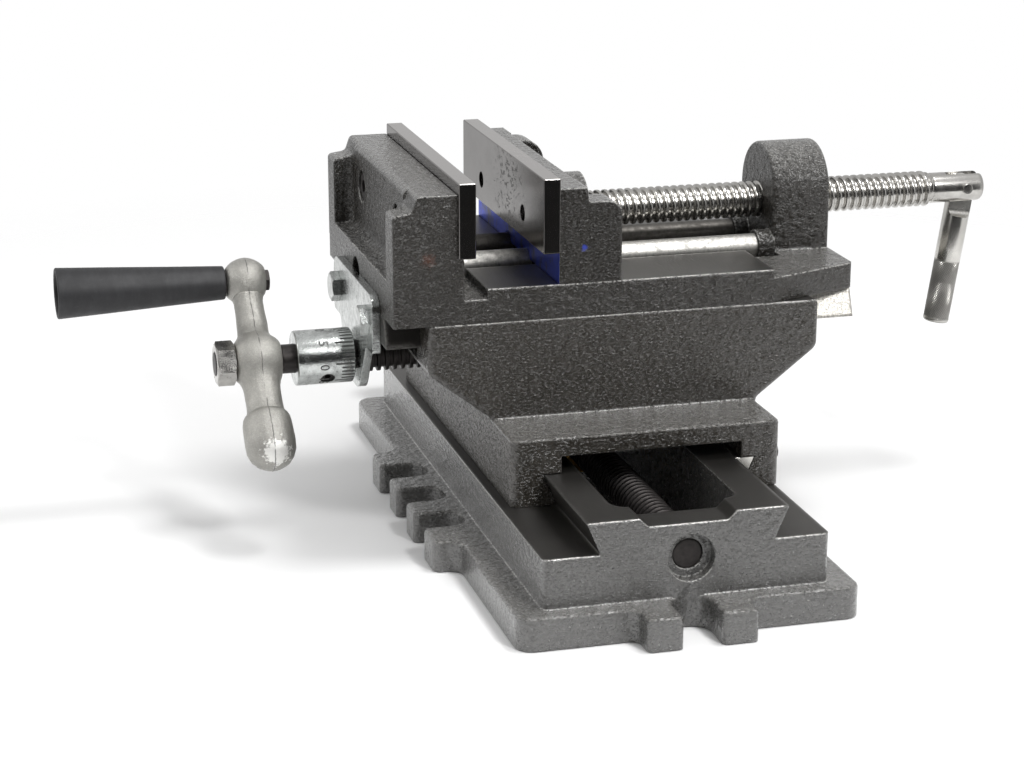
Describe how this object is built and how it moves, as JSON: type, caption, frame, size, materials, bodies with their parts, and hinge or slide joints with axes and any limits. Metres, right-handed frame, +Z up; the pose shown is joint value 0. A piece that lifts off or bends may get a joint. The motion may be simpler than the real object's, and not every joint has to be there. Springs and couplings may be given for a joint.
{
  "type": "cross slide vise",
  "caption": "Drill press vise on two crossed dovetail slides, each fed by a lead screw with dial and crank, with a screw-closed jaw and a folding handle.",
  "frame": {"origin": "centre of the base's underside", "axes": "+Z up; +X along the vise screw towards its folding handle; +Y along the base's dovetail, away from the closed front end"},
  "size_m": [0.4677, 0.486, 0.1838],
  "materials": {
    "enamelled_iron": "hammered enamel over cast iron",
    "ground_steel": "ground",
    "polished_steel": "polished",
    "turned_steel": "turned",
    "zinc_plate": "bright zinc",
    "black_oxide": "black oxide",
    "bronze": "cast and machined",
    "cast_aluminium": "sand cast, unpainted",
    "black_plastic": "moulded, matt"
  },
  "bodies": {
    "base": {"base": "enamelled_iron", "y_bracket": "zinc_plate", "y_bracket_bolts": "zinc_plate"},
    "y_screw": {"y_lead_screw": "black_oxide", "y_dial": "zinc_plate", "y_dial_set_screw": "black_oxide", "y_crank": "cast_aluminium", "y_crank_nut": "zinc_plate", "y_grip_bolt": "zinc_plate", "y_grip_nut": "black_oxide"},
    "y_grip": {"y_grip": "black_plastic"},
    "saddle": {"saddle": "enamelled_iron", "y_gib": "turned_steel", "y_gib_screws": "black_oxide", "y_gib_nuts": "zinc_plate", "x_gib": "turned_steel", "x_gib_screws": "black_oxide", "x_gib_nuts": "zinc_plate", "y_nut": "bronze", "y_nut_screws": "black_oxide", "x_nut": "bronze", "x_nut_screws": "black_oxide"},
    "vise_body": {"vise_body": "enamelled_iron", "fixed_jaw_plate": "ground_steel", "fixed_jaw_screws": "black_oxide", "guide_rods": "polished_steel", "x_bracket": "zinc_plate", "x_bracket_bolts": "zinc_plate"},
    "x_screw": {"x_lead_screw": "black_oxide", "x_dial": "zinc_plate", "x_dial_set_screw": "black_oxide", "x_crank": "cast_aluminium", "x_crank_nut": "zinc_plate", "x_grip_bolt": "zinc_plate", "x_grip_nut": "black_oxide"},
    "x_grip": {"x_grip": "black_plastic"},
    "moving_jaw": {"moving_jaw": "enamelled_iron", "moving_jaw_plate": "ground_steel", "moving_jaw_screws": "black_oxide", "screw_keeper_pins": "polished_steel"},
    "vise_screw": {"vise_screw": "zinc_plate", "handle_pin": "zinc_plate"},
    "handle": {"handle": "turned_steel"}
  },
  "joints": [
    {"name": "y_screw_turn", "type": "hinge", "parent": "base", "child": "y_screw", "pos_m": [0.0015, 0, 0.033], "axis": [0, 1, 0], "range_deg": [-4321, 7201]},
    {"name": "y_grip_spin", "type": "hinge", "parent": "y_screw", "child": "y_grip", "pos_m": [0.04566, 0, 0.02836], "axis": [0, 1, 0], "continuous": true},
    {"name": "saddle_slide", "type": "slide", "parent": "base", "child": "saddle", "axis": [0, 1, 0], "range_m": [-0.08, 0.048]},
    {"name": "vise_body_slide", "type": "slide", "parent": "saddle", "child": "vise_body", "axis": [1, 0, 0], "range_m": [-0.095, 0.015]},
    {"name": "x_screw_turn", "type": "hinge", "parent": "vise_body", "child": "x_screw", "pos_m": [0, 0.0164, 0.0856], "axis": [1, 0, 0], "range_deg": [-8551, 1351]},
    {"name": "x_grip_spin", "type": "hinge", "parent": "x_screw", "child": "x_grip", "pos_m": [0, 0.04724, 0.11754], "axis": [1, 0, 0], "continuous": true},
    {"name": "moving_jaw_slide", "type": "slide", "parent": "vise_body", "child": "moving_jaw", "axis": [1, 0, 0], "range_m": [-0.0318, 0.08]},
    {"name": "vise_screw_turn", "type": "hinge", "parent": "moving_jaw", "child": "vise_screw", "pos_m": [0, 0.0164, 0.1512], "axis": [1, 0, 0], "range_deg": [-2863, 7201]},
    {"name": "handle_fold", "type": "hinge", "parent": "vise_screw", "child": "handle", "pos_m": [0.2064, 0.0164, 0.1512], "axis": [0, 1, 0], "range_deg": [-204, 8.5]}
  ],
  "couplings": [
    {"joint": "y_screw_turn", "follows": "saddle_slide", "rad_per_m": -1570.8},
    {"joint": "x_screw_turn", "follows": "vise_body_slide", "rad_per_m": 1570.8},
    {"joint": "vise_screw_turn", "follows": "moving_jaw_slide", "rad_per_m": 1570.8}
  ]
}
